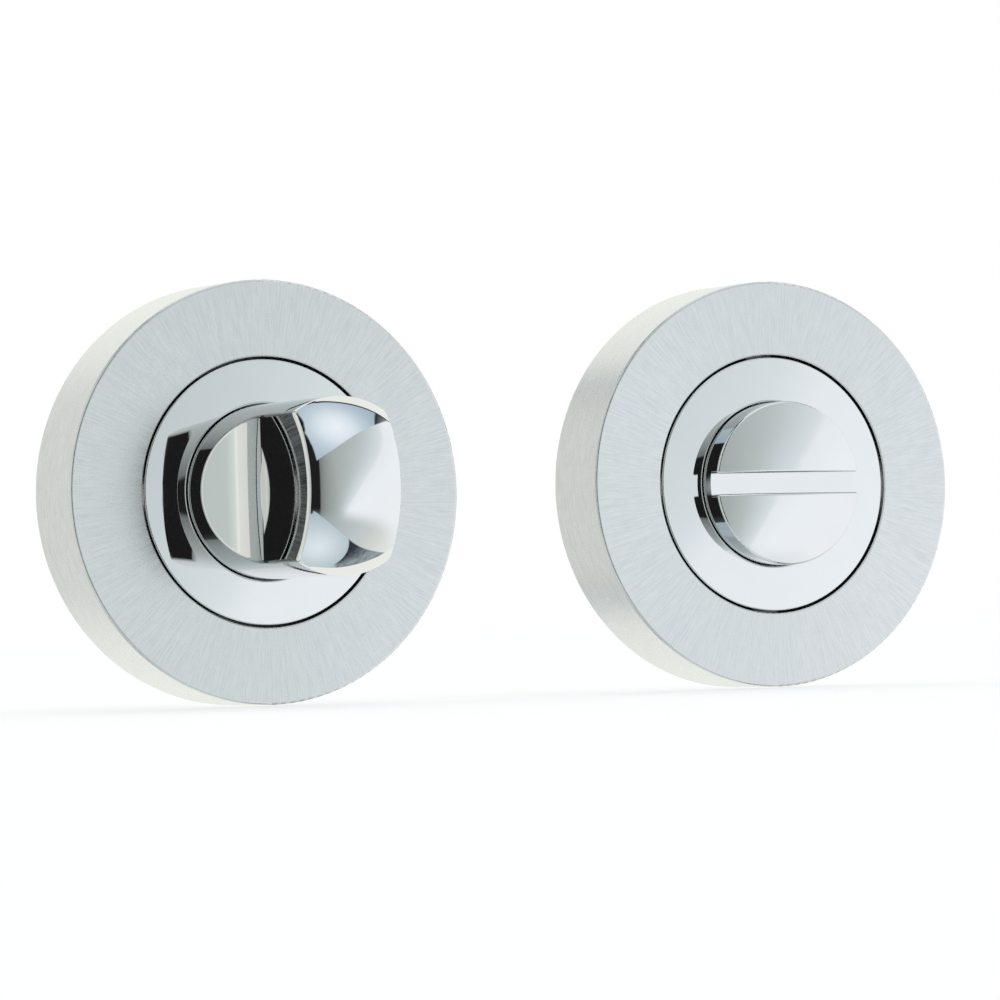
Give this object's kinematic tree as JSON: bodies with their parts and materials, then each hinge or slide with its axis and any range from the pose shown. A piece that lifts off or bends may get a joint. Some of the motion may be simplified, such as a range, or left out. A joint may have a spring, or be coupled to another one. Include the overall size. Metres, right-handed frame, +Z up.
{
  "type": "bathroom thumb turn lock",
  "caption": "Bathroom privacy turn and release: a domed thumb turn with a square spindle and a coin-slotted release, each on a round satin rose with a polished centre.",
  "frame": {"origin": "on the thumb turn's axis, on the plane of the door against which both roses stand; it is the centre of the thumb turn's two bolt holes", "axes": "+Y into the door along the spindle, +Z up along the upright grip, +X to the right from the thumb turn to the release, seen from in front of the roses"},
  "size_m": [0.1188, 0.0775, 0.05],
  "materials": {
    "satin_chrome": "satin chrome plate with a fine brushed grain",
    "polished_chrome": "mirror-polished chrome plate",
    "zinc_casting": "die-cast zinc alloy, barrel-polished grey",
    "plated_steel": "bright zinc-plated steel",
    "spring_steel": "phosphated spring steel",
    "nylon": "natural nylon"
  },
  "bodies": {
    "roses": {"turn_rose_cover": "satin_chrome", "turn_centre_plate": "polished_chrome", "turn_sub_rose": "zinc_casting", "turn_bush": "nylon", "turn_thrust_washer": "nylon", "turn_wave_washer": "spring_steel", "release_rose_cover": "satin_chrome", "release_centre_plate": "polished_chrome", "release_sub_rose": "zinc_casting", "release_bush": "nylon", "release_thrust_washer": "nylon", "release_wave_washer": "spring_steel"},
    "turn": {"thumb_turn": "polished_chrome", "spindle": "plated_steel", "spindle_pin": "spring_steel", "turn_backing_washer": "plated_steel", "turn_retaining_ring": "spring_steel"},
    "release": {"release_turn": "polished_chrome", "release_backing_washer": "plated_steel", "release_retaining_ring": "spring_steel"}
  },
  "joints": [
    {"name": "turn_rotation", "type": "hinge", "parent": "roses", "child": "turn", "pos_m": [0, 0, 0], "axis": [0, 1, 0], "range_deg": [-90, 90]},
    {"name": "release_rotation", "type": "hinge", "parent": "roses", "child": "release", "pos_m": [0.0688, 0, 0], "axis": [0, 1, 0], "range_deg": [-90, 90]}
  ]
}
